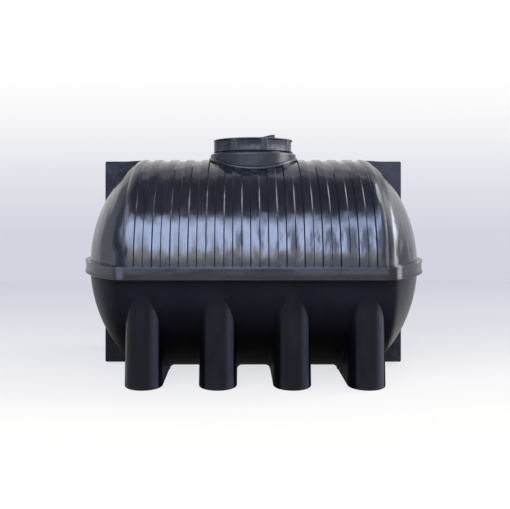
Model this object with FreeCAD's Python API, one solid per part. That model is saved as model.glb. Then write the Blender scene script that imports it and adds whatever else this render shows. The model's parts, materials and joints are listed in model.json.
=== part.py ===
import FreeCAD, Part

import math
import os

# A horizontal moulded polyethylene septic tank on eight buttress legs.
# The shell is a cylinder lying down with dished ends, in an upper and a lower half.
# Flat ribs and a wide land at each end stand out of the upper half. Each land rounds over
# and drops to the dished end in a crease.
# A band runs round the tank where the halves meet, and a square web fills each corner
# between a dished end and the box that the tank fits in.
# A round manhole neck stands on the crown, closed by a screw lid with a rubber seal.
# X runs along the tank, Z is up, and the front is towards -Y. The origin is on the ground
# under the middle of the tank. All sizes are in millimetres.

# Shell
AXIS_HEIGHT = 594.0          # from the ground up to the plane where the halves meet
SHELL_RADIUS = 585.0         # outside, without the ribs
STRAIGHT = 600.0             # from the middle to where the shell starts to close
KNUCKLE = 170.0              # radius between the cylinder and a dished end
END_DEPTH = 332.0            # from the end of the straight to the tip
WALL = 8.0

# Ribs and lands of the upper half
RIB_HEIGHT = 8.0
GROOVE_COUNT = 14
GROOVE_WIDTH = 38.0          # at its floor
GROOVE_SLOPE = 6.0           # width of each slanted side
LAND_OVERRUN = 20.0          # how far a land runs on past the straight
LAND_WIDTH = 9.0             # flat of a land, from the last groove to its rounded edge
LAND_ROUND = 66.0            # radius of its rounded edge

# Band round the joint of the halves
BAND_REACH = 33.0            # how far it stands out from the ribs
BAND_TIP_REACH = 25.0        # the same at the tips of the ends
BAND_OVERRUN = 76.0          # how far its straight runs on past the shell's
BAND_CORNER = 48.0
BAND_ABOVE = 28.0            # its height above the joint
BAND_BELOW = 36.0
BEAD_HEIGHT = 8.0            # raised edge along its top and its bottom
BEAD_DEPTH = 4.0

# Legs
LEG_WIDTH = 196.0
LEG_END_INSET = 31.0         # from the middle of an outer leg to the end of the straight
LEG_SET_BACK = 2.0           # from the side of the shell in to the nose of a leg, at the ground
LEG_BACK = 100.0             # from the middle of the tank to the inner end of a leg
LEG_DRAFT = 10.0             # how much each flank draws in on its way up to the axis
LEG_CORNER = 24.0            # corner radius of its inner end
FOOT_EDGE = 10.0             # rounding under the foot
LEGS_A_SIDE = 4

# Corner webs
WEB_OVERHANG = 258.0         # from the end of the straight to the outer edge
WEB_TOP_DROP = 10.0          # from the crown down to the top edge
WEB_BOTTOM_RISE = 5.0        # from the bottom of the belly up to the bottom edge
WEB_SINK = 3.0               # how deep the start of its edge lies in the shell
WEB_RAMP = 116.0             # length of the slope from the land down to its top edge
WEB_THICKNESS = 46.0
WEB_CORNER = 10.0

# Manhole neck, with heights above the crown
COLLAR_LEDGE = 45.0          # from the throat out to the side wall
COLLAR_HEIGHT = 33.0
COLLAR_EDGE = 12.0
COLLAR_LIP = 7.0             # how far its wall stands out over the ring under it
COLLAR_LIFT = 7.0            # from the ribs up to the wall's lower edge
THROAT_RADIUS = 203.0
THROAT_HEIGHT = 97.0

# Seal and lid
SEAL_THICKNESS = 6.0
SEAL_OVERHANG = 3.0          # how far it reaches out past the throat
SEAL_LIP = 7.0               # how far it reaches in past the throat
LID_CLEARANCE = 6.0          # between its skirt and the throat
LID_SKIRT = 21.0             # thickness of the skirt at its ridges
LID_GAP = 9.0                # between its skirt and the collar
LID_ROOF = 10.0
LID_EDGE = 5.0
SCOOP_COUNT = 8              # hollows round the skirt for the fingers, with ridges between them
SCOOP_DEPTH = 14.0
SCOOP_WIDTH = 146.0
SCOOP_FOOT = 22.0            # radius of the curve that brings its floor out at the bottom
SCOOP_HEAD = 14.0            # the same at the top
SCOOP_MARGIN = 7.0           # left of the skirt above and below a hollow
SCOOP_TURN = 37.5            # direction of the first hollow, in degrees
BOSS_RADIUS = 42.0           # raised disc in the middle of the lid
BOSS_HEIGHT = 4.0
LUG_TURN = 294.0             # direction of the turning lug from the middle, in degrees
LUG_INSET = 50.0             # from the lid's edge to the lug
LUG_LENGTH = 100.0
LUG_THICKNESS = 18.0
LUG_HEIGHT = 20.0

FINE = 0.1
FRONT = 270.0                # direction of the front, in degrees
UP = FreeCAD.Vector(0, 0, 1)
ALONG = FreeCAD.Vector(1, 0, 0)
ACROSS = FreeCAD.Vector(0, 1, 0)
ORIGIN = FreeCAD.Vector(0, 0, 0)
AXIS_POINT = FreeCAD.Vector(0, 0, AXIS_HEIGHT)

RIB_RADIUS = SHELL_RADIUS + RIB_HEIGHT
LEG_FRONT = SHELL_RADIUS - LEG_SET_BACK
CROWN = AXIS_HEIGHT + RIB_RADIUS
BELLY = AXIS_HEIGHT - SHELL_RADIUS
TIP = STRAIGHT + END_DEPTH
LAND_END = STRAIGHT + LAND_OVERRUN
COLLAR_RADIUS = THROAT_RADIUS + COLLAR_LEDGE
COLLAR_TOP = CROWN + COLLAR_HEIGHT
THROAT_TOP = CROWN + THROAT_HEIGHT
LID_RADIUS = THROAT_RADIUS + LID_CLEARANCE + LID_SKIRT
LID_SEAT = THROAT_TOP + SEAL_THICKNESS
LID_TOP = LID_SEAT + LID_ROOF
LID_BOTTOM = COLLAR_TOP + LID_GAP
RING_RADIUS = COLLAR_RADIUS - COLLAR_LIP


def line(a, b):
    return Part.LineSegment(a, b).toShape()


def arc(a, b, c):
    return Part.Arc(a, b, c).toShape()


def on_circle(centre, radius, angle):
    return (centre[0] + radius * math.cos(angle), centre[1] + radius * math.sin(angle))


def on_side(point, side):
    """A half-section point (x, r) as a point of the upright middle plane."""
    return FreeCAD.Vector(point[0], 0, AXIS_HEIGHT + side * point[1])


def dish_radius(radius, corner, depth):
    """Radius of the arc that meets a corner arc smoothly and reaches the tip square to the axis."""
    rise = radius - corner
    return (depth ** 2 + rise ** 2 - corner ** 2) / (2 * (depth - corner))


def end_curve(straight, radius, corner, depth, inset, start_x):
    """Half section of a dished end from start_x to its tip, as the points (x, r) of two arcs."""
    dish = dish_radius(radius, corner, depth)
    dish_centre = (straight + depth - dish, 0.0)
    corner_centre = (straight, radius - corner)
    lean = math.atan2(corner_centre[1], straight - dish_centre[0])
    start = math.acos((start_x - straight) / (corner - inset))
    return [
        on_circle(corner_centre, corner - inset, start),
        on_circle(corner_centre, corner - inset, (start + lean) / 2),
        on_circle(corner_centre, corner - inset, lean),
        on_circle(dish_centre, dish - inset, lean / 2),
        on_circle(dish_centre, dish - inset, 0.0),
    ]


def shell_end(inset, start_x):
    return end_curve(STRAIGHT, SHELL_RADIUS, KNUCKLE, END_DEPTH, inset, start_x)


def shell_radius_at(x, inset):
    """Radius of the closing shell at a place on its knuckle."""
    return SHELL_RADIUS - KNUCKLE + math.sqrt((KNUCKLE - inset) ** 2 - (x - STRAIGHT) ** 2)


def crease():
    """Where the rounded edge of a land meets the dished end, as (x, r)."""
    knuckle_centre = (STRAIGHT, SHELL_RADIUS - KNUCKLE)
    round_centre = (LAND_END, RIB_RADIUS - LAND_ROUND)
    dx = round_centre[0] - knuckle_centre[0]
    dr = round_centre[1] - knuckle_centre[1]
    apart = math.hypot(dx, dr)
    along = (apart ** 2 + KNUCKLE ** 2 - LAND_ROUND ** 2) / (2 * apart)
    off = math.sqrt(KNUCKLE ** 2 - along ** 2)
    return (knuckle_centre[0] + (along * dx + off * dr) / apart,
            knuckle_centre[1] + (along * dr - off * dx) / apart)


def swing(face, side):
    """Turns a half section through the front, from the middle plane round to the back."""
    turned = face.rotated(AXIS_POINT, ALONG, 90 * side)
    return turned.revolve(AXIS_POINT, ALONG, -180 * side)


def mirrored_x(shape):
    return shape.mirror(ORIGIN, ALONG)


def mirrored_y(shape):
    return shape.mirror(ORIGIN, ACROSS)


def ribbed_line(inset):
    """The upper half's ribs and grooves as points (x, r), from one land's end to the other's."""
    floor = GROOVE_WIDTH / 2
    mouth = floor + GROOVE_SLOPE
    pitch = 2 * (LAND_END - LAND_WIDTH - mouth) / (GROOVE_COUNT - 1)
    top = RIB_RADIUS - inset
    bottom = SHELL_RADIUS - inset
    points = [(-LAND_END, top)]
    for i in range(GROOVE_COUNT):
        middle = (i - (GROOVE_COUNT - 1) / 2) * pitch
        points += [(middle - mouth, top), (middle - floor, bottom)]
        points += [(middle + floor, bottom), (middle + mouth, top)]
    points.append((LAND_END, top))
    return points


def land_edge(inset):
    """The rounded edge of the right-hand land, as the points (x, r) of an arc."""
    centre = (LAND_END, RIB_RADIUS - LAND_ROUND)
    radius = LAND_ROUND - inset
    end_r = shell_radius_at(crease()[0], inset)
    end = math.asin((end_r - centre[1]) / radius)
    return [on_circle(centre, radius, a) for a in (math.pi / 2, (math.pi / 2 + end) / 2, end)]


def flipped(points):
    return [(-x, r) for x, r in points[::-1]]


def polyline(points):
    return [line(a, b) for a, b in zip(points, points[1:])]


def upper_outline(inset):
    """Edges of the upper barrel's outline from crease to crease, in the middle plane."""
    right = land_edge(inset)
    left = flipped(right)
    ends = [on_side((side * crease()[0], shell_radius_at(crease()[0], inset)), 1) for side in (-1, 1)]
    ribs = [on_side(p, 1) for p in ribbed_line(inset)]
    edges = polyline(ribs)
    for points in (left, right):
        edges.append(arc(*[on_side(p, 1) for p in points]))
    for end, tip in ((ends[0], on_side(left[0], 1)), (ends[1], on_side(right[-1], 1))):
        if end.distanceToPoint(tip) > FINE:
            edges.append(line(end, tip))
    return edges, ends


def closed_face(edges):
    return Part.Face(Part.Wire(Part.__sortEdges__(edges)))


def upper_barrel():
    outer, outer_ends = upper_outline(0.0)
    inner, inner_ends = upper_outline(WALL)
    sides = [line(a, b) for a, b in zip(outer_ends, inner_ends)]
    ring = swing(closed_face(outer + inner + sides), 1)
    return ring.cut(Part.makeCylinder(RING_RADIUS, RIB_RADIUS, AXIS_POINT, UP))


def upper_core():
    """Everything inside the outer face of the upper half, for seating other pieces on it."""
    outline, ends = upper_outline(0.0)
    feet = [FreeCAD.Vector(end.x, 0, AXIS_HEIGHT) for end in ends]
    edges = outline + [line(ends[0], feet[0]), line(feet[0], feet[1]), line(feet[1], ends[1])]
    end = end_core(1, crease()[0])
    return swing(closed_face(edges), 1).fuse([end, mirrored_x(end)])


def lower_core():
    barrel = barrel_half(SHELL_RADIUS)
    end = end_core(-1, STRAIGHT)
    return barrel.fuse([end, mirrored_x(end)])


def barrel_half(radius):
    """Lower half of a plain cylinder, between the ends of the straight."""
    places = [(-STRAIGHT, 0), (STRAIGHT, 0), (STRAIGHT, radius), (-STRAIGHT, radius)]
    corners = [on_side(place, -1) for place in places]
    return swing(Part.Face(Part.makePolygon(corners + corners[:1])), -1)


def end_edges(points, side):
    p = [on_side(point, side) for point in points]
    return [arc(p[0], p[1], p[2]), arc(p[2], p[3], p[4])]


def end_shell(side, start_x):
    """A right-hand dished end: side 1 is its upper half, side -1 its lower."""
    outer = shell_end(0.0, start_x)
    inner = shell_end(WALL, start_x)
    edges = end_edges(outer, side) + end_edges(inner, side)
    edges += [line(on_side(outer[0], side), on_side(inner[0], side)),
              line(on_side(outer[-1], side), on_side(inner[-1], side))]
    return swing(closed_face(edges), side)


def end_core(side, start_x):
    points = shell_end(0.0, start_x)
    foot = FreeCAD.Vector(start_x, 0, AXIS_HEIGHT)
    edges = end_edges(points, side)
    edges += [line(on_side(points[-1], side), foot), line(foot, on_side(points[0], side))]
    return swing(closed_face(edges), side)


def band_plan(offset):
    """Outline of the band seen from above, drawn in by an offset."""
    straight = STRAIGHT + BAND_OVERRUN
    radius = RIB_RADIUS + BAND_REACH
    points = end_curve(straight, radius, BAND_CORNER, TIP + BAND_TIP_REACH - straight, offset, straight)
    edges = []
    for side_x in (1, -1):
        for side_y in (1, -1):
            p = [FreeCAD.Vector(side_x * x, side_y * r, AXIS_HEIGHT) for x, r in points]
            edges += [arc(p[0], p[1], p[2]), arc(p[2], p[3], p[4])]
    for side_y in (1, -1):
        y = side_y * (radius - offset)
        ends = [FreeCAD.Vector(x, y, AXIS_HEIGHT) for x in (-straight, straight)]
        edges.append(line(ends[0], ends[1]))
    return closed_face(edges)


def band_layer(offset, low, high):
    face = band_plan(offset)
    face.translate(FreeCAD.Vector(0, 0, low))
    return face.extrude(FreeCAD.Vector(0, 0, high - low))


def whole_band(upper, lower):
    """The band with its two beads, fitted to the shell above and below the joint."""
    layers = band_layer(BEAD_DEPTH, -BAND_BELOW, BAND_ABOVE).fuse([
        band_layer(0.0, -BAND_BELOW, -BAND_BELOW + BEAD_HEIGHT),
        band_layer(0.0, BAND_ABOVE - BEAD_HEIGHT, BAND_ABOVE)])
    return layers.removeSplitter().cut(upper).cut(lower)


def block(low_x, high_x, low_y, high_y):
    return Part.makeBox(high_x - low_x, high_y - low_y, CROWN, FreeCAD.Vector(low_x, low_y, 0))


def leg_form(inset):
    """A leg up to the axis: a round nose and flat flanks, all drawn in a little on the way up."""
    v = FreeCAD.Vector
    half = LEG_WIDTH / 2
    nose_y = half - LEG_FRONT
    height = AXIS_HEIGHT - inset
    top = half - LEG_DRAFT - inset
    low = half - LEG_DRAFT * inset / AXIS_HEIGHT - inset
    nose = Part.makeCone(low, top, height, v(0, nose_y, inset), UP)
    corners = [v(-low, nose_y, inset), v(low, nose_y, inset)]
    corners += [v(top, nose_y, AXIS_HEIGHT), v(-top, nose_y, AXIS_HEIGHT)]
    length = -LEG_BACK - inset - nose_y
    body = Part.Face(Part.makePolygon(corners + corners[:1])).extrude(v(0, length, 0))
    back = [e for e in body.Edges if e.BoundBox.ZLength > FINE and e.BoundBox.YMin > -LEG_BACK - inset - FINE]
    return nose.fuse(body.makeFillet(LEG_CORNER - inset, back)).removeSplitter()


def leg_pocket(x):
    """The hollow inside a leg, open to the tank."""
    pocket = leg_form(WALL)
    pocket.translate(FreeCAD.Vector(x, 0, 0))
    return pocket


def front_leg(x, core):
    form = leg_form(0.0)
    form = form.makeFillet(FOOT_EDGE, rim(form, 0.0))
    form.translate(FreeCAD.Vector(x, 0, 0))
    return form.cut(core).cut(leg_pocket(x))


def leg_places():
    outer = STRAIGHT - LEG_END_INSET
    return [outer * (2 * i / (LEGS_A_SIDE - 1) - 1) for i in range(LEGS_A_SIDE)]


def web_face(side):
    """Outline of a right-hand corner web in the middle plane, reaching into the shell."""
    v = FreeCAD.Vector
    if side > 0:
        edge, root = CROWN - WEB_TOP_DROP, AXIS_HEIGHT + BAND_ABOVE
        start = v(LAND_END, 0, CROWN - WEB_SINK)
    else:
        edge, root = BELLY + WEB_BOTTOM_RISE, AXIS_HEIGHT - BAND_BELOW
        start = v(STRAIGHT, 0, BELLY + WEB_SINK + WEB_BOTTOM_RISE)
    reach = STRAIGHT + WEB_OVERHANG
    cut = WEB_CORNER * (1 - math.sqrt(0.5))
    near = v(reach - WEB_CORNER, 0, edge)
    far = v(reach, 0, edge - side * WEB_CORNER)
    bend = v(LAND_END + WEB_RAMP, 0, edge)
    foot = v(reach, 0, root)
    inside = v(start.x, 0, root)
    corner = arc(near, v(reach - cut, 0, edge - side * cut), far)
    return Part.Face(Part.Wire([line(start, bend), line(bend, near), corner, line(far, foot),
                                line(foot, inside), line(inside, start)]))


def corner_web(side, core):
    face = web_face(side)
    face.translate(FreeCAD.Vector(0, -WEB_THICKNESS / 2, 0))
    return face.extrude(FreeCAD.Vector(0, WEB_THICKNESS, 0)).cut(core)


def drum(radius, low, high):
    return Part.makeCylinder(radius, high - low, FreeCAD.Vector(0, 0, low), UP)


def rim(solid, height):
    """The edges of a solid that lie in one level plane."""
    return [e for e in solid.Edges if abs(e.BoundBox.ZMin - height) < FINE and e.BoundBox.ZLength < FINE]


def lying_drum(radius):
    """A cylinder along the axis of the tank, as long as the straight."""
    return Part.makeCylinder(radius, 2 * STRAIGHT, FreeCAD.Vector(-STRAIGHT, 0, AXIS_HEIGHT), ALONG)


def neck_collar():
    """Side wall and top ledge of the neck, and the ring under them that sits in the barrel's hole."""
    wall = drum(COLLAR_RADIUS, AXIS_HEIGHT, COLLAR_TOP)
    wall = wall.makeFillet(COLLAR_EDGE, rim(wall, COLLAR_TOP))
    wall = wall.cut(lying_drum(RIB_RADIUS + COLLAR_LIFT))
    ring = drum(RING_RADIUS, AXIS_HEIGHT, COLLAR_TOP - WALL).cut(lying_drum(SHELL_RADIUS - WALL))
    inside = drum(RING_RADIUS - WALL, AXIS_HEIGHT, COLLAR_TOP - WALL)
    bore = drum(THROAT_RADIUS, AXIS_HEIGHT, COLLAR_TOP)
    return wall.fuse(ring).cut(inside).cut(bore).removeSplitter()


def neck_throat():
    """The round throat that the lid screws on."""
    outer = drum(THROAT_RADIUS, COLLAR_TOP - WALL, THROAT_TOP)
    return outer.cut(drum(THROAT_RADIUS - WALL, AXIS_HEIGHT, THROAT_TOP))


def lid_seal():
    ring = drum(THROAT_RADIUS + SEAL_OVERHANG, THROAT_TOP, LID_SEAT)
    return ring.cut(drum(THROAT_RADIUS - WALL - SEAL_LIP, THROAT_TOP, LID_SEAT))


def skirt_scoop():
    """Cutter for the hollow towards +X: a flat floor that curves out at its top and bottom."""
    v = FreeCAD.Vector
    floor = LID_RADIUS - SCOOP_DEPTH
    low = LID_BOTTOM + SCOOP_MARGIN
    high = LID_TOP - SCOOP_MARGIN
    foot = v(floor + SCOOP_FOOT, 0, low)
    head = v(floor + SCOOP_HEAD, 0, high)
    foot_middle = on_circle((foot.x, low + SCOOP_FOOT), SCOOP_FOOT, math.radians(225))
    head_middle = on_circle((head.x, high - SCOOP_HEAD), SCOOP_HEAD, math.radians(135))
    floor_low = v(floor, 0, low + SCOOP_FOOT)
    floor_high = v(floor, 0, high - SCOOP_HEAD)
    outside = v(foot.x, 0, high)
    profile = [arc(foot, v(foot_middle[0], 0, foot_middle[1]), floor_low), line(floor_low, floor_high),
               arc(floor_high, v(head_middle[0], 0, head_middle[1]), head), line(head, outside),
               line(outside, foot)]
    face = Part.Face(Part.Wire(profile))
    face.translate(v(0, -SCOOP_WIDTH / 2, 0))
    return face.extrude(v(0, SCOOP_WIDTH, 0))


def screw_lid():
    """A round cap with scooped hollows round its skirt and a raised disc on its roof."""
    cap = drum(LID_RADIUS, LID_BOTTOM, LID_TOP)
    cap = cap.makeFillet(LID_EDGE, rim(cap, LID_TOP))
    step = 360 / SCOOP_COUNT
    cap = cap.cut([skirt_scoop().rotated(ORIGIN, UP, SCOOP_TURN + i * step) for i in range(SCOOP_COUNT)])
    cap = cap.cut(drum(THROAT_RADIUS + LID_CLEARANCE, LID_BOTTOM, LID_SEAT))
    roof = FreeCAD.Vector(0, 0, LID_TOP)
    boss = Part.makeCone(BOSS_RADIUS + BOSS_HEIGHT, BOSS_RADIUS, BOSS_HEIGHT, roof, UP)
    return cap.fuse(boss).removeSplitter()


def lid_lug():
    """A ramp on the lid with a square end to push against, for turning it."""
    v = FreeCAD.Vector
    half = LUG_LENGTH / 2
    peak = LID_TOP + LUG_HEIGHT
    corners = [v(-half, 0, LID_TOP), v(half, 0, LID_TOP), v(half, 0, peak), v(half - LUG_THICKNESS, 0, peak)]
    ramp = Part.Face(Part.makePolygon(corners + corners[:1])).extrude(v(0, LUG_THICKNESS, 0))
    ramp.translate(v(0, LUG_INSET - LID_RADIUS, 0))
    return ramp.rotated(ORIGIN, UP, LUG_TURN - FRONT)


def save(shape, name):
    if not shape.isValid() or len(shape.Solids) != 1:
        raise ValueError(name + " is not one sound solid")
    shape.Solids[0].exportStep("parts/" + name + ".step")
    print(name, round(shape.Volume / 1e6, 3), "litres")


def save_pair(shape, name):
    """Saves a right-hand piece and its mirror image."""
    save(shape, name.replace("SIDE", "right"))
    save(mirrored_x(shape), name.replace("SIDE", "left"))


def save_shell():
    save(upper_barrel(), "upper_barrel")
    save_pair(end_shell(1, crease()[0]), "upper_SIDE_end")
    belly = barrel_half(SHELL_RADIUS).cut(barrel_half(SHELL_RADIUS - WALL))
    end = end_shell(-1, STRAIGHT)
    for x in leg_places():
        for pocket in (leg_pocket(x), mirrored_y(leg_pocket(x))):
            belly = belly.cut(pocket)
            end = end.cut(pocket)
    save(belly, "lower_barrel")
    save_pair(end, "lower_SIDE_end")


def save_band(upper, lower):
    band = whole_band(upper, lower)
    far = TIP + BAND_TIP_REACH + WALL
    wide = RIB_RADIUS + BAND_REACH + WALL
    middle = band.common(block(-LAND_END, LAND_END, -wide, wide))
    save(middle.common(block(-far, far, -wide, 0)), "front_band")
    save(middle.common(block(-far, far, 0, wide)), "back_band")
    save_pair(band.common(block(LAND_END, far, -wide, wide)), "SIDE_band")


def main():
    os.makedirs("parts", exist_ok=True)
    upper, lower = upper_core(), lower_core()
    save_shell()
    save_band(upper, lower)
    for number, x in enumerate(leg_places(), 1):
        leg = front_leg(x, lower)
        save(leg, "front_leg_" + str(number))
        save(mirrored_y(leg), "back_leg_" + str(number))
    save_pair(corner_web(1, upper), "upper_SIDE_web")
    save_pair(corner_web(-1, lower), "lower_SIDE_web")
    save(neck_collar(), "neck_collar")
    save(neck_throat(), "neck_throat")
    save(lid_seal(), "lid_seal")
    save(screw_lid(), "screw_lid")
    save(lid_lug(), "lid_lug")


main()
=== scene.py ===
import json
import math

import bmesh
import bpy
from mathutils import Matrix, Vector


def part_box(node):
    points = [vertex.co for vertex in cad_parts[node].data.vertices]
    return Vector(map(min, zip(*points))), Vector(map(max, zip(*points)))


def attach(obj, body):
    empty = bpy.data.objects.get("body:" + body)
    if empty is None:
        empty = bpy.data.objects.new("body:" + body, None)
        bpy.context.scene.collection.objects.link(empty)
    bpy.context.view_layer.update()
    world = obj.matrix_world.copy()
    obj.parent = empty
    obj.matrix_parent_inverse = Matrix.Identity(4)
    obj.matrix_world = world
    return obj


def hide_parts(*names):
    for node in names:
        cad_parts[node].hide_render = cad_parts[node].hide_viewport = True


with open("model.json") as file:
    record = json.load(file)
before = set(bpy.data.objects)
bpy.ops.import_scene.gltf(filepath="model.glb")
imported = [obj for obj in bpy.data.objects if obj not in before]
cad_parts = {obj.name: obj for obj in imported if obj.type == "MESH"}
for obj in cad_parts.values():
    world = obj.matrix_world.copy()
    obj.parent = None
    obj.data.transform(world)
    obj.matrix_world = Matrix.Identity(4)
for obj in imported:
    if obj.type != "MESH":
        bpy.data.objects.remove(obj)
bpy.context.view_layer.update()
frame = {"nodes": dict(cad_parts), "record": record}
nodes = frame["nodes"]

# Lengths and heights in metres
RIB_PITCH = 0.09015                                 # from rib to rib along the upper barrel
LEG_SPACING = 0.37933                               # from leg to leg
LEG_TAPER = 0.010                                   # how far a flank leans in, from the ground to the axis
STRAIGHT_END = 0.62                                 # past it a leg's flank meets a dished end
BAND_HALF = 0.036                                   # half the height of the band
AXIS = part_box("front_band")[0][2] + BAND_HALF       # height of the barrel's axis
LID_PLATE = 0.010                                   # thickness of the lid over its seal
LID_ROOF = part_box("lid_seal")[1][2] + LID_PLATE


# Shader maths

class Val:
    """A shader socket that Python's operators add Math nodes to."""

    def __init__(self, paint, socket):
        self.paint = paint
        self.socket = socket

    def __add__(self, other):
        return self.paint.maths("ADD", self, other)

    def __radd__(self, other):
        return self.paint.maths("ADD", other, self)

    def __sub__(self, other):
        return self.paint.maths("SUBTRACT", self, other)

    def __rsub__(self, other):
        return self.paint.maths("SUBTRACT", other, self)

    def __mul__(self, other):
        return self.paint.maths("MULTIPLY", self, other)

    def __rmul__(self, other):
        return self.paint.maths("MULTIPLY", other, self)

    def __truediv__(self, other):
        return self.paint.maths("DIVIDE", self, other)

    def __mod__(self, other):
        return self.paint.maths("FLOORED_MODULO", self, other)

    def __abs__(self):
        return self.paint.maths("ABSOLUTE", self)

    def __gt__(self, other):
        return self.paint.maths("GREATER_THAN", self, other)


class Paint:
    """Adds nodes to one material or to the world."""

    def __init__(self, tree):
        self.tree = tree

    def node(self, kind, settings=None, inputs=None, out=0):
        """Any node, with its settings and inputs. One of its outputs comes back."""
        made = self.tree.nodes.new(kind)
        for name, value in (settings or {}).items():
            if name == "stops":
                self._set_stops(made.color_ramp, value)
            else:
                setattr(made, name, value)
        for key, value in (inputs or {}).items():
            socket = made.inputs[key]
            if isinstance(value, Val):
                self.tree.links.new(value.socket, socket)
            elif socket.type == "RGBA":
                socket.default_value = (*value, 1)
            else:
                socket.default_value = value
        return Val(self, made.outputs[out])

    def _set_stops(self, ramp, stops):
        while len(ramp.elements) > 1:
            ramp.elements.remove(ramp.elements[-1])
        for i, (place, tone) in enumerate(stops):
            element = ramp.elements[0] if i == 0 else ramp.elements.new(place)
            element.position = place
            element.color = (*tone, 1)

    def maths(self, operation, *values):
        return self.node("ShaderNodeMath", {"operation": operation}, dict(enumerate(values)))

    def place(self):
        """The point on the surface, in metres: nodes and pieces sit at the origin at rest."""
        return self.node("ShaderNodeTexCoord", out="Object")

    def axes(self, vector):
        split = self.node("ShaderNodeSeparateXYZ", {}, {0: vector})
        return [Val(self, socket) for socket in split.socket.node.outputs]

    def stretch(self, vector, scale):
        return self.node("ShaderNodeVectorMath", {"operation": "MULTIPLY"}, {0: vector, 1: scale})

    def noise(self, vector, scale, detail, rough=0.5):
        return self.node("ShaderNodeTexNoise", {}, {
            "Vector": vector, "Scale": scale, "Detail": detail, "Roughness": rough})

    def band(self, value, low, high, to_low=0.0, to_high=1.0):
        """Runs smoothly from to_low to to_high as the value runs from low to high, up or down."""
        return self.node("ShaderNodeMapRange", {"interpolation_type": "SMOOTHSTEP"}, {
            "Value": value, "From Min": low, "From Max": high, "To Min": to_low, "To Max": to_high})

    def window(self, value, low, high, soft):
        """One between low and high, and nothing outside."""
        return self.band(value, low - soft, low + soft) * self.band(value, high + soft, high - soft)

    def mix(self, share, a, b, blend="MIX"):
        """Colour a, and colour b where the share is one."""
        return self.node("ShaderNodeMix", {"data_type": "RGBA", "blend_type": blend}, {0: share, 6: a, 7: b}, out=2)

    def bumps(self, *layers):
        """A normal from layers of a height and its depth in metres, each on the one before."""
        normal = None
        for height, depth in layers:
            inputs = {"Height": height, "Distance": depth}
            if normal is not None:
                inputs["Normal"] = normal
            normal = self.node("ShaderNodeBump", {}, inputs)
        return normal


def colour(r, g, b):
    """A colour as linear numbers from its 0 to 255 screen values."""
    out = []
    for c in (r, g, b):
        c /= 255
        out.append(c / 12.92 if c <= 0.04045 else ((c + 0.055) / 1.055) ** 2.4)
    return tuple(out)


def plastic(name, specular):
    """A new material, what adds its nodes, and its shader."""
    material = bpy.data.materials.new(name)
    material.use_nodes = True
    shader = material.node_tree.nodes["Principled BSDF"]
    shader.inputs["Specular IOR Level"].default_value = specular
    return material, Paint(material.node_tree), shader


def second_shader(p, specular):
    shader = p.tree.nodes.new("ShaderNodeBsdfPrincipled")
    shader.inputs["Specular IOR Level"].default_value = specular
    return shader


def coat(p, shader, base, rough, normal):
    """Gives one shader its colour, roughness and normal."""
    for key, value in (("Base Color", base), ("Roughness", rough), ("Normal", normal)):
        p.tree.links.new(value.socket, shader.inputs[key])


def blend(p, share, first, second):
    """Shows the first shader, and the second where the share is one."""
    skin = p.node("ShaderNodeMixShader", {}, {
        0: share, 1: Val(p, first.outputs[0]), 2: Val(p, second.outputs[0])})
    p.tree.links.new(skin.socket, p.tree.nodes["Material Output"].inputs["Surface"])


# Materials. The marks are placed by x along the tank and z up, both in metres.

def glossy_shell():
    """The upper half: crowned ribs, slow waves, peel and run marks, shoulders that have gone matt, and a painted
    highlight on the left shoulder.
    """
    material, p, gloss = plastic("glossy_black_polyethylene", specular=0.9)
    matt = second_shader(p, specular=0.16)
    place = p.place()
    x, _, z = p.axes(place)

    ribbed = p.band(abs(x), 0.64, 0.6)
    crown = p.maths("COSINE", x * (2 * math.pi / RIB_PITCH)) * ribbed
    waves = p.noise(p.stretch(place, (5.0, 2.2, 2.2)), scale=1.6, detail=2.0)
    sinks = p.noise(p.stretch(place, (11.0, 5.0, 5.0)), scale=1.7, detail=2.0)
    peel = p.noise(place, scale=320.0, detail=2.0)
    runs = p.noise(p.stretch(place, (60.0, 5.0, 5.0)), scale=1.0, detail=5.0, rough=0.62)
    clouds = p.noise(place, scale=6.0, detail=5.0, rough=0.6)
    scuffs = p.noise(p.stretch(place, (40.0, 40.0, 12.0)), scale=3.0, detail=6.0, rough=0.7)
    scuffs = p.band(scuffs, 0.58, 0.72)
    # Painted highlight: a pale strip on the left shoulder, broken up by the clouds, stands for a reflection there.
    pale_patches = p.window(x, -0.664, -0.645, soft=0.008) * p.band(z, 0.68, 0.76) * p.band(z, 0.98, 0.86)

    base = p.mix(p.band(clouds, 0.3, 0.7), colour(15, 16, 20), colour(22, 23, 28))
    base = p.mix(p.band(runs, 0.52, 0.75) * 0.5, base, colour(38, 39, 45))
    base = p.mix(scuffs * 0.25, base, colour(62, 62, 66))
    base = p.mix(pale_patches * (0.3 + 0.5 * clouds), base, colour(112, 111, 114))
    rough = 0.12 + 0.05 * p.band(runs, 0.35, 0.7) + 0.04 * clouds + 0.1 * scuffs
    normal = p.bumps((crown * (0.5 + clouds), 0.0006), (waves, 0.010), (sinks, 0.0028), (peel, 0.0001))

    right_shoulder = p.band(x, 0.630, 0.655) * p.band(x, 0.712, 0.695) * p.band(z, 1.14, 1.0)
    left_foot = p.window(x, -0.703, -0.652, soft=0.012) * p.band(z, 0.75, 0.68)
    coat(p, gloss, base, rough, normal)
    coat(p, matt, base, rough + 0.22, normal)
    blend(p, (right_shoulder + left_foot) * 0.9, gloss, matt)
    return material


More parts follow.
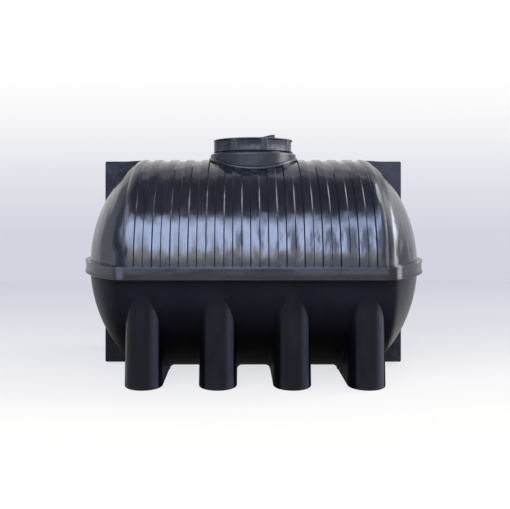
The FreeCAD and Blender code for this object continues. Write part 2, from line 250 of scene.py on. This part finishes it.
def dull_belly():
    """The lower half: dull and rough from the mould on the barrel, smoother on the dished ends, with painted shade
    that darkens it towards the bottom.
    """
    material, p, dull = plastic("dull_black_polyethylene", specular=0.012)
    smooth = second_shader(p, specular=0.22)
    place = p.place()
    x, _, z = p.axes(place)

    waves = p.noise(place, scale=3.0, detail=2.0)
    clouds = p.noise(place, scale=5.0, detail=5.0, rough=0.6)
    grain = p.noise(place, scale=240.0, detail=2.0)
    specks = p.band(p.noise(place, scale=34.0, detail=6.0, rough=0.7), 0.35, 0.7)
    dust = p.band(z + 0.12 * clouds, 0.34, 0.04) * specks
    ends = p.band(x, 0.698, 0.748) * 0.85 + p.band(x, -0.7, -0.93) * 0.65

    # Painted shade: near black at the bottom and dark grey higher up, with the paler cloudy patches kept to the
    # upper part.
    base = p.mix(p.band(z, 0.16, 0.56), colour(1, 1, 1), colour(21, 21, 26))
    base = p.mix(p.band(clouds, 0.3, 0.7) * p.band(z, 0.26, 0.5) * 0.4, base, colour(28, 28, 33))
    base = p.mix(dust * 0.04, base, colour(70, 68, 66))
    normal = p.bumps((waves, 0.01), (grain, 0.00018))
    coat(p, dull, base, 0.5 + 0.14 * clouds + 0.1 * dust, normal)
    coat(p, smooth, base, 0.22 + 0.14 * clouds, normal)
    blend(p, ends, dull, smooth)
    return material


def rubbed_band():
    """The band round the middle, scraped along its length, with pale patches on its upper half. Each front corner
    has painted shade with a painted highlight beside it, and the top edge has a painted highlight.
    """
    material, p, shader = plastic("rubbed_black_flange", specular=0.48)
    place = p.place()
    x, _, z = p.axes(place)

    clouds = p.noise(p.stretch(place, (3.0, 3.0, 20.0)), scale=2.0, detail=5.0, rough=0.6)
    scrapes = p.noise(p.stretch(place, (9.0, 9.0, 160.0)), scale=2.0, detail=6.0, rough=0.75)
    scrapes = p.band(scrapes, 0.55, 0.7)
    # Pale patches, kept to the band's upper half, which leave it lighter there than below.
    upper_patches = p.noise(p.stretch(place, (2.6, 2.6, 9.0)), scale=1.0, detail=3.0, rough=0.6)
    upper_patches = p.band(upper_patches, 0.42, 0.62) * p.band(z, 0.576, 0.596)
    # Painted shade: each front corner is darkened almost to black.
    corners = p.window(x, -0.716, -0.694, soft=0.008) + p.window(x, 0.655, 0.695, soft=0.01)
    lower_edge = p.band(z, 0.557, 0.568)
    # Painted highlights: a pale strip beside each dark corner on the band's face, brighter at the right.
    left_painted_highlight = p.window(x, -0.686, -0.655, soft=0.01) * lower_edge
    right_painted_highlight = p.window(x, 0.705, 0.728, soft=0.01) * lower_edge
    # Painted highlight along the band's top edge, strongest in the middle.
    painted_top_highlight = p.window(z, 0.612, 0.626, soft=0.003) * p.band(abs(x), 0.7, 0.1, 0.25, 0.9)

    base = p.mix(p.band(clouds, 0.35, 0.65), colour(8, 8, 11), colour(22, 23, 28))
    base = p.mix(upper_patches * 0.42, base, colour(66, 67, 76))
    base = p.mix(scrapes * 0.3, base, colour(74, 74, 79))
    base = p.mix(corners, base, colour(3, 3, 4))
    base = p.mix(left_painted_highlight, base, colour(62, 62, 69))
    base = p.mix(right_painted_highlight, base, colour(116, 116, 122))
    base = p.mix(painted_top_highlight * 0.3, base, colour(94, 98, 112))
    rough = 0.17 + 0.12 * clouds + 0.12 * scrapes
    waves = p.noise(place, scale=9.0, detail=3.0)
    grain = p.noise(place, scale=260.0, detail=2.0)
    coat(p, shader, base, rough, p.bumps((waves, 0.004), (grain, 0.00015)))
    return material


def leg_plastic():
    """The legs: a painted highlight along each nose's right-hand corner and the first leg's left one, and flanks as
    dull as the belly, with painted shade that leaves them near black towards the ground. Towards its top each nose
    takes the flank's finish.
    """
    material, p, shader = plastic("leg_black_polyethylene", specular=0.12)
    dull = second_shader(p, specular=0.012)
    place = p.place()
    x, _, z = p.axes(place)
    off = (x + 2 * LEG_SPACING) % LEG_SPACING - LEG_SPACING / 2       # from the middle of the leg

    clouds = p.noise(p.stretch(place, (6.0, 6.0, 2.0)), scale=2.0, detail=5.0, rough=0.6)
    specks = p.band(p.noise(place, scale=40.0, detail=6.0, rough=0.7), 0.35, 0.7)
    dust = p.band(z + 0.05 * clouds, 0.11, 0.0) * specks
    scrapes = p.noise(p.stretch(place, (90.0, 90.0, 9.0)), scale=1.0, detail=6.0, rough=0.7)
    scrapes = p.band(scrapes, 0.6, 0.74)
    first_leg = p.band(x, -0.3, -0.45)
    nose = p.band(off + first_leg * 0.026, -0.068, -0.058) * p.band(off, 0.083, 0.077)
    root = p.band(z, 0.36, 0.5)
    # Painted highlight along each nose's right-hand corner, and the first leg's left one, below the leg's top.
    painted_corner_highlight = p.band(off, 0.028, 0.08) * p.band(z, 0.56, 0.42)
    painted_corner_highlight = painted_corner_highlight + first_leg * p.band(off, -0.076, -0.09) * p.band(z, 0.42, 0.3)

    base = p.mix(p.band(clouds, 0.3, 0.7), colour(9, 9, 12), colour(18, 18, 23))
    base = p.mix(painted_corner_highlight, base, colour(47, 48, 56))
    base = p.mix(scrapes * 0.2, base, colour(56, 58, 64))
    base = p.mix(dust * 0.08, base, colour(84, 82, 78))
    # Painted shade: the flanks run from near black at the ground to dark grey higher up.
    flank = p.mix(p.band(z, 0.2, 0.5), colour(2, 2, 3), colour(24, 24, 29))
    flank = p.mix(clouds * 0.5, flank, colour(12, 12, 15))
    rough = 0.24 + 0.12 * clouds + 0.2 * dust
    waves = p.noise(place, scale=7.0, detail=3.0)
    grain = p.noise(place, scale=240.0, detail=2.0)
    normal = p.bumps((waves, 0.005), (grain, 0.00018))
    coat(p, shader, base, rough, normal)
    coat(p, dull, flank, rough + 0.25, normal)
    blend(p, nose * (1 - 0.9 * root), dull, shader)
    return material


def web_plastic():
    """The pressed corner webs, mottled where the walls met in the mould, with painted shade that leaves them darker
    below and to the left.
    """
    material, p, shader = plastic("pressed_black_web", specular=0.15)
    place = p.place()
    x, _, z = p.axes(place)
    blots = p.noise(place, scale=22.0, detail=5.0, rough=0.65)
    # Painted shade: the webs are darker below and to the left, and their pale mottle is strongest towards the upper
    # right.
    mottle = p.band(blots, 0.42, 0.66) * p.band(x + z, -0.65, 0.2, 0.08, 0.3)
    rightward = p.band(x, -0.8, 0.8)
    lower = p.mix(rightward, colour(3, 3, 4), colour(26, 26, 28))
    upper = p.mix(rightward, colour(27, 27, 30), colour(51, 51, 54))
    base = p.mix(p.band(z, 0.4, 0.6), lower, upper)
    base = p.mix(mottle, base, colour(70, 71, 80))
    grain = p.noise(place, scale=220.0, detail=2.0)
    coat(p, shader, base, 0.42 + 0.2 * blots, p.bumps((blots, 0.003), (grain, 0.0002)))
    return material


def neck_plastic():
    """The manhole's neck, satin and a little cloudy."""
    material, p, shader = plastic("satin_black_neck", specular=0.55)
    place = p.place()
    clouds = p.noise(place, scale=14.0, detail=5.0, rough=0.6)
    waves = p.noise(place, scale=12.0, detail=3.0)
    grain = p.noise(place, scale=260.0, detail=2.0)
    base = p.mix(p.band(clouds, 0.3, 0.7), colour(11, 11, 14), colour(24, 24, 29))
    coat(p, shader, base, 0.26 + 0.14 * clouds, p.bumps((waves, 0.003), (grain, 0.00015)))
    return material


def lid_plastic():
    """The lid, slightly chalked by the sun, and duller in its hollows than on the ridges that hands rub, with a
    painted highlight low in the hollows towards the right and another along the roof's rounded edge.
    """
    material, p, shader = plastic("chalked_black_lid", specular=0.55)
    hollow = second_shader(p, specular=0.2)
    place = p.place()
    x, y, z = p.axes(place)
    reach = p.maths("SQRT", x * x + y * y)

    clouds = p.noise(place, scale=16.0, detail=5.0, rough=0.62)
    # Chalk from the sun, in pale patches.
    pale_patches = p.band(p.noise(place, scale=60.0, detail=6.0, rough=0.7), 0.42, 0.66)
    # Painted highlight low in the hollows, just over the lid's foot, strongest towards the right.
    painted_scoop_highlight = p.band(reach, 0.2262, 0.2235) * p.band(z, LID_ROOF - 0.030, LID_ROOF - 0.046)
    painted_scoop_highlight = painted_scoop_highlight * p.band(x, -0.15, 0.1)
    # Painted highlight along the roof's rounded edge.
    painted_roof_edge_highlight = p.band(z, LID_ROOF - 0.0055, LID_ROOF - 0.002) * p.band(reach, 0.212, 0.2195)
    sunk = p.band(reach, 0.2262, 0.2225) * p.band(z, LID_ROOF - 0.004, LID_ROOF - 0.008)
    sunk = sunk * p.band(x, -0.2, -0.09, 0.3, 1.0)

    base = p.mix(p.band(clouds, 0.3, 0.7), colour(19, 19, 22), colour(32, 32, 36))
    base = p.mix(pale_patches * 0.2, base, colour(86, 85, 86))
    base = p.mix(painted_scoop_highlight * (0.25 + 0.35 * pale_patches), base, colour(112, 111, 114))
    base = p.mix(painted_roof_edge_highlight * 0.6, base, colour(84, 84, 91))
    rough = 0.3 + 0.14 * clouds + 0.1 * pale_patches
    normal = p.bumps((p.noise(place, scale=280.0, detail=2.0), 0.00018))
    coat(p, shader, base, rough, normal)
    coat(p, hollow, base, rough, normal)
    blend(p, sunk, shader, hollow)
    return material


def seal_rubber():
    """Plain black rubber."""
    material, p, shader = plastic("black_rubber", specular=0.4)
    place = p.place()
    clouds = p.noise(place, scale=40.0, detail=4.0)
    base = p.mix(clouds, colour(20, 20, 21), colour(36, 36, 38))
    coat(p, shader, base, 0.6 + 0.2 * clouds, p.bumps((p.noise(place, scale=500.0, detail=2.0), 0.0001)))
    return material


FINISHES = {
    "shell": glossy_shell(), "belly": dull_belly(), "band": rubbed_band(), "leg": leg_plastic(),
    "web": web_plastic(), "neck": neck_plastic(), "lid": lid_plastic(), "seal": seal_rubber(),
}


def dress_nodes():
    for piece in frame["record"]["subparts"]:
        node = nodes[piece["node"]]
        node.data.materials.clear()
        node.data.materials.append(FINISHES[piece["material_slot"]])


# Pieces finer than the solids

def ring_piece(name, rings, closed, slot, sharp):
    """A piece from rings of points, joined one to the next, and filled in at both ends unless closed."""
    count = len(rings[0])
    faces = []
    for i in range(len(rings) if closed else len(rings) - 1):
        a, b = i * count, (i + 1) % len(rings) * count
        faces += [(a + k, a + (k + 1) % count, b + (k + 1) % count, b + k) for k in range(count)]
    if not closed:
        faces += [tuple(range(count)), tuple(range((len(rings) - 1) * count, len(rings) * count))]
    mesh = bpy.data.meshes.new(name)
    mesh.from_pydata([point for ring in rings for point in ring], [], faces)
    solid = bmesh.new()
    solid.from_mesh(mesh)
    bmesh.ops.recalc_face_normals(solid, faces=solid.faces)
    solid.to_mesh(mesh)
    solid.free()
    mesh.polygons.foreach_set("use_smooth", [True] * len(mesh.polygons))
    mesh.set_sharp_from_angle(angle=math.radians(sharp))
    mesh.materials.append(FINISHES[slot])
    piece = bpy.data.objects.new(name, mesh)
    bpy.context.scene.collection.objects.link(piece)
    return piece


def smooth_step(value, low, high):
    t = min(max((value - low) / (high - low), 0.0), 1.0)
    return t * t * (3 - 2 * t)


def half_width(node):
    low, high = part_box(node)
    return (high[0] - low[0]) / 2


LID_STEPS = 480              # points round the lid
LID_SIDES = 8
HOLLOW_TURN = 37.5           # direction of the first hollow, in degrees
HOLLOW_HALF = 18.4           # half its width, in degrees
HOLLOW_EASE = 1.3            # width of its rounded side edge, in degrees
HOLLOW_CURVE = 0.9           # one gives it a flat floor, and zero one that is round with the lid
HOLLOW_WALL = 0.0065         # wall left behind it
SKIRT_GAP = 0.006            # between the neck's throat and the skirt
SKIRT_INSET = 1e-6           # keeps the skirt's outside within the solid's
SCOOP_FOOT = 0.002           # where the scoop at the hollow's foot starts, over the lid's foot
SCOOP_RISE = 0.021           # its height
SCOOP_SHARE = 0.5            # how much of the hollow's depth it takes up at its middle
SCOOP_CURVE = 1.3            # one makes it a straight ramp, and more a hollow one
FOOT_BRIM = (0.0018, 0.0035)          # over the foot, where a hollow starts and where it is at its full depth
ROOF_BRIM = (0.0055, 0.0095)          # the same under the roof
LID_CHAMFER = 0.001
LID_CORNER = 0.005           # radius of the roof's rounded edge
LID_CORNER_STEPS = 5
LID_BOSS = ((0.0455, 0.0005), (0.0425, 0.0036), (0.041, 0.004))       # radius and height over the roof


def scooped_lid():
    """The lid with hollows that run out at their foot in a scoop, between narrow ridges."""
    foot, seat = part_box("screw_lid")[0][2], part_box("lid_seal")[1][2]
    radius = half_width("screw_lid")
    inside = half_width("neck_throat") + SKIRT_GAP
    step = 360 / LID_SIDES

    def skirt(turn, height):
        """How far out the skirt's outside lies."""
        off = abs((turn - HOLLOW_TURN + step / 2) % step - step / 2)
        depth = radius - (inside + HOLLOW_WALL) / math.cos(math.radians(HOLLOW_CURVE * off))
        depth *= smooth_step(HOLLOW_HALF - off, 0.0, HOLLOW_EASE)
        rise = min(max((height - foot - SCOOP_FOOT) / SCOOP_RISE, 0.0), 1.0)
        scoop = SCOOP_SHARE * max(1 - (off / HOLLOW_HALF) ** 2, 0.0)
        depth *= 1 - scoop * (1 - rise) ** SCOOP_CURVE
        depth *= smooth_step(LID_ROOF - height, *ROOF_BRIM) * smooth_step(height - foot, *FOOT_BRIM)
        return radius - max(depth, 0.0) - SKIRT_INSET

    def ring(height, reach=None):
        """Points round the lid at one height, as far out as reach says or else along the skirt."""
        points = []
        for i in range(LID_STEPS):
            turn = i * 360 / LID_STEPS
            r = reach or skirt(turn, height)
            points.append((r * math.cos(math.radians(turn)), r * math.sin(math.radians(turn)), height))
        return points

    rings = [ring(seat, 0.1), ring(seat, inside - LID_CHAMFER), ring(seat - LID_CHAMFER, inside)]
    rings += [ring(foot + LID_CHAMFER, inside), ring(foot, inside + LID_CHAMFER), ring(foot, radius - 0.0015)]
    low, high = foot + 0.0045, LID_ROOF - 0.010
    rings += [ring(foot + up) for up in (0.0015, 0.002, 0.0025, 0.003, 0.0035)]
    rings += [ring(low + (high - low) * i / 24) for i in range(25)]
    rings += [ring(LID_ROOF - 0.0095 + 0.0007 * i) for i in range(7)]
    for i in range(1, LID_CORNER_STEPS + 1):
        lean = i * math.pi / 2 / LID_CORNER_STEPS
        rings.append(ring(LID_ROOF - LID_CORNER * (1 - math.sin(lean)), radius - LID_CORNER * (1 - math.cos(lean))))
    rings += [ring(LID_ROOF, reach) for reach in (0.2, 0.12, 0.0475)]
    rings += [ring(LID_ROOF + up, reach) for reach, up in LID_BOSS]
    piece = ring_piece("lid_with_scooped_skirt", rings, False, "lid", sharp=28)
    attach(piece, "lid")
    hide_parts("screw_lid")


RIM_STEPS = 240              # points round the neck
RIM_SIDES = 16               # points round the rim's own section
RIM_OUT = 0.0015             # from the collar's outside to the middle of the rim
RIM_SINK = 0.003             # how far the middle of the rim lies under the ribs' tops
RIM_HALF_WIDTH = 0.008
RIM_HALF_HEIGHT = 0.0135
RIM_FLARE_OUT = 0.005        # how much further out it lies across the tank
RIM_FLARE_WIDE = 0.006       # and how much wider its half is there


def neck_foot_rim():
    """The rounded rim of the neck's foot, which lies on the ribs all the way round and flares across the tank."""
    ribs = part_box("upper_barrel")[1][2] - AXIS
    reach = half_width("neck_collar") + RIM_OUT
    rings = []
    for i in range(RIM_STEPS):
        turn = i * 2 * math.pi / RIM_STEPS
        flare = math.sin(turn) ** 2
        out = reach + RIM_FLARE_OUT * flare
        half = RIM_HALF_WIDTH + RIM_FLARE_WIDE * flare
        middle = AXIS + math.sqrt((ribs - RIM_SINK) ** 2 - (out * math.sin(turn)) ** 2)
        ring = []
        for k in range(RIM_SIDES):
            lean = k * 2 * math.pi / RIM_SIDES
            r = out + half * math.cos(lean)
            ring.append((r * math.cos(turn), r * math.sin(turn), middle + RIM_HALF_HEIGHT * math.sin(lean)))
        rings.append(ring)
    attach(ring_piece("neck_foot_rim", rings, True, "neck", sharp=60), "tank")


FILLET_STEPS = 30            # along one fillet
FILLET_ARC = 6               # round its hollow
FILLET_START = 9.5           # degrees round the barrel from its lowest line
FILLET_SWEEP = 62
FILLET_LEAST = 0.004         # its size at both ends
FILLET_GROWTH = 0.022        # and what its fullest part has over that
FILLET_RUN_IN = 1.5          # steps in which it grows from its lower end
FILLET_RUN_OUT = 18          # steps in which it thins out to its upper end
FILLET_SINK = 0.003          # how far its back lies inside the leg and the barrel


def fillet(foot_low, foot_high, hand, way, r):
    """Rings of the fillet at one flank of a leg. Hand says which flank and way front or back; r is the barrel's."""
    middle = (foot_low[0] + foot_high[0]) / 2
    half = (foot_high[0] - foot_low[0]) / 2
    rings = []
    for i in range(FILLET_STEPS + 1):
        turn = math.radians(FILLET_START + FILLET_SWEEP * i / FILLET_STEPS)
        growth = smooth_step(i, 0, FILLET_RUN_IN) * smooth_step(FILLET_STEPS - i, 0, FILLET_RUN_OUT)
        size = FILLET_LEAST + FILLET_GROWTH * growth
        flank = half - LEG_TAPER * (AXIS - r * math.cos(turn)) / AXIS
        leans = [k * math.pi / 2 / FILLET_ARC for k in range(FILLET_ARC + 1)]
        corner = [(size * (1 - math.cos(lean)), size * (1 - math.sin(lean))) for lean in leans]
        corner += [(size, -FILLET_SINK), (-FILLET_SINK, -FILLET_SINK), (-FILLET_SINK, size)]
        rings.append([(middle + hand * (flank + out), way * (r + up) * math.sin(turn),
                       AXIS - (r + up) * math.cos(turn)) for out, up in corner])
    return rings


def leg_root_fillets():
    """The rounded corners between the flanks of the legs and the underside."""
    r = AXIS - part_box("lower_barrel")[0][2]
    for side, way in (("front", -1), ("back", 1)):
        for number in range(1, 5):
            foot_low, foot_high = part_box(f"{side}_leg_{number}")
            for hand, word, edge in ((-1, "left", foot_low[0]), (1, "right", foot_high[0])):
                if abs(edge) < STRAIGHT_END:
                    rings = fillet(foot_low, foot_high, hand, way, r)
                    name = f"{side}_leg_{number}_{word}_fillet"
                    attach(ring_piece(name, rings, False, "belly", sharp=40), "tank")


# Floor, backdrop, light and camera. A row holds a place along the axis and the tone there.

BACK_WALL = 4.0
FLOOR_SIDE, FLOOR_FRONT = 14, -9
WALL_SIDE, WALL_TOP = 6, 9
FLOOR_ROWS = ((-1.35, 254, 254, 254), (-0.884, 251, 251, 252), (-0.37, 245, 245, 249), (0.35, 230, 232, 239),
              (1.43, 217, 218, 229), (3.24, 209, 211, 223), (4.0, 209, 211, 223))
WALL_ROWS = ((0.0, 209, 211, 223), (0.603, 210, 211, 223), (0.957, 218, 219, 229), (1.311, 225, 227, 235),
             (1.667, 236, 237, 242), (2.02, 245, 245, 248), (2.61, 255, 255, 255), (3.4, 255, 255, 255),
             (4.6, 250, 250, 252), (6.0, 226, 228, 235), (9.0, 166, 169, 180))
SURFACE_TINT = (0.86, 0.76, 0.55)      # keeps the cool light from turning the matt surface blue
GLOW_SHARE = 0.8             # how much of what the camera sees of it glows by itself


def graded(name, axis, rows):
    """A pale studio surface whose tone runs along one axis. It takes soft shadows."""
    material = bpy.data.materials.new(name)
    material.use_nodes = True
    tree = material.node_tree
    tree.nodes.remove(tree.nodes["Principled BSDF"])
    p = Paint(tree)
    low, length = rows[0][0], rows[-1][0] - rows[0][0]
    stops = [((row[0] - low) / length, colour(*row[1:])) for row in rows]
    along = (p.axes(p.place())[axis] - low) / length
    tone = p.node("ShaderNodeValToRGB", {"stops": stops}, {0: along})
    rays = tree.nodes.new("ShaderNodeLightPath")
    seen = sum(Val(p, rays.outputs[kind]) for kind in ("Is Camera Ray", "Is Glossy Ray", "Is Transmission Ray"))
    glow = p.node("ShaderNodeEmission", {}, {"Color": tone, "Strength": 1.0})
    matt = p.node("ShaderNodeBsdfDiffuse", {}, {"Color": p.mix(1.0, tone, SURFACE_TINT, "MULTIPLY")})
    plain = p.node("ShaderNodeMixShader", {}, {0: GLOW_SHARE, 1: matt, 2: glow})
    shown = p.node("ShaderNodeMixShader", {}, {0: seen > 0.5, 1: matt, 2: plain})
    tree.links.new(shown.socket, tree.nodes["Material Output"].inputs["Surface"])
    return material


def sheet(name, corners, material):
    mesh = bpy.data.meshes.new(name)
    mesh.from_pydata(corners, [], [(0, 1, 2, 3)])
    mesh.materials.append(material)
    piece = bpy.data.objects.new(name, mesh)
    bpy.context.scene.collection.objects.link(piece)


def studio():
    sheet("studio_floor", [(-FLOOR_SIDE, FLOOR_FRONT, 0), (FLOOR_SIDE, FLOOR_FRONT, 0),
                           (FLOOR_SIDE, BACK_WALL, 0), (-FLOOR_SIDE, BACK_WALL, 0)],
          graded("pale_floor", 1, FLOOR_ROWS))
    sheet("studio_backdrop", [(-WALL_SIDE, BACK_WALL, 0), (WALL_SIDE, BACK_WALL, 0),
                              (WALL_SIDE, BACK_WALL, WALL_TOP), (-WALL_SIDE, BACK_WALL, WALL_TOP)],
          graded("pale_backdrop", 2, WALL_ROWS))


def sky():
    """Soft studio light by direction, in degrees: turn runs from the front to the right, and rise runs up.

    A wide cool box stands in front with a low one under it, and a narrow bright one at the right.
    The light behind is pale, and the light above is dim.
    """
    world = bpy.data.worlds.new("studio")
    bpy.context.scene.world = world
    world.use_nodes = True
    tree = world.node_tree
    p = Paint(tree)
    x, y, z = p.axes(p.node("ShaderNodeTexCoord", out="Generated"))
    degrees = 180 / math.pi
    rise = p.maths("ARCSINE", z) * degrees
    turn = p.maths("ARCTAN2", x, 0 - y) * degrees

    front = p.band(turn, -92.0, -38.0) * p.band(turn, 80.0, 48.0)
    left_dimmed = p.band(turn, -1.0, -13.0) * p.band(rise, 44.0, 22.0) * p.band(turn, -60.0, -20.0)
    right_dimmed = p.band(turn, 1.0, 12.5) * p.band(rise, 50.0, 34.0)
    front = front * (1 - 0.4 * left_dimmed) * (1 - 0.82 * right_dimmed)
    foot = rise + p.band(turn, -12.0, 1.0, -5.5, 0.0)
    head = rise + p.band(turn, -30.0, -70.0) * 10
    main_box = front * p.band(foot, 10.5, 18.5) * p.band(head, 57.0, 42.0)
    low_box = p.window(turn, -42.0, 34.0, soft=8.0) * p.band(rise, 1.5, 12.0) * p.band(foot, 22.0, 14.0)
    low_box = low_box * (1 - 0.4 * p.band(turn, 0.0, 14.0))

    lean = turn - p.band(rise, 8.0, 50.0) * 8
    side_box = p.window(turn, 72.0, 96.0, soft=6.0) * p.window(rise, -8.0, 8.0, soft=5.0)
    high_box = p.window(lean, 84.0, 109.0, soft=6.0) * p.band(rise, 2.0, 17.0) * p.band(rise, 64.0, 48.0)
    right_back = p.band(turn, 96.0, 108.0) * p.band(rise, 68.0, 48.0)
    right_high = right_back * p.band(rise, 0.0, 22.0)
    left_back = p.band(turn, -100.0, -125.0) * p.band(rise, 70.0, 20.0)

    behind = p.band(y, 0.0, 0.5) * p.band(rise, 84.0, 58.0)
    above = p.band(rise, 58.0, 72.0) * (1 - behind)
    floor_glow = p.band(rise, 10.0, 3.0) * (1 - p.band(y, -0.1, 0.5))
    light = p.mix(behind, colour(120, 122, 130), colour(214, 216, 226))
    for share, tint in (
            (above, colour(98, 100, 112)),
            (floor_glow, (0.84, 0.92, 1.3)),
            (right_back, (0.42, 0.42, 0.46)),
            (right_high, (1.55, 1.55, 1.62)),
            (low_box, (2.2, 2.15, 2.2)),
            (main_box, (5.2, 6.2, 9.3)),
            (side_box, (8.6, 8.8, 9.4)),
            (high_box, (9.6, 9.8, 10.6)),
            (left_back, (0.4, 0.42, 0.5))):
        light = p.mix(share, light, tint)
    tree.links.new(light.socket, tree.nodes["Background"].inputs["Color"])


CAMERA_PLACE = (-0.0795, -3.957, 0.950)
CAMERA_LENS = 47.82          # millimetres, on a sensor 36 mm wide
CAMERA_SHIFT = (0.0304, -0.1057)


def camera():
    """A level camera that looks straight at the tank's long side."""
    data = bpy.data.cameras.new("view")
    data.sensor_width = 36.0
    data.lens = CAMERA_LENS
    data.shift_x, data.shift_y = CAMERA_SHIFT
    data.clip_end = 60.0
    piece = bpy.data.objects.new("view", data)
    piece.location = CAMERA_PLACE
    piece.rotation_euler = (math.pi / 2, 0, 0)
    bpy.context.scene.collection.objects.link(piece)
    bpy.context.scene.camera = piece


dress_nodes()
scooped_lid()
neck_foot_rim()
leg_root_fillets()
studio()
sky()
camera()
bpy.context.scene.view_settings.view_transform = "Standard"
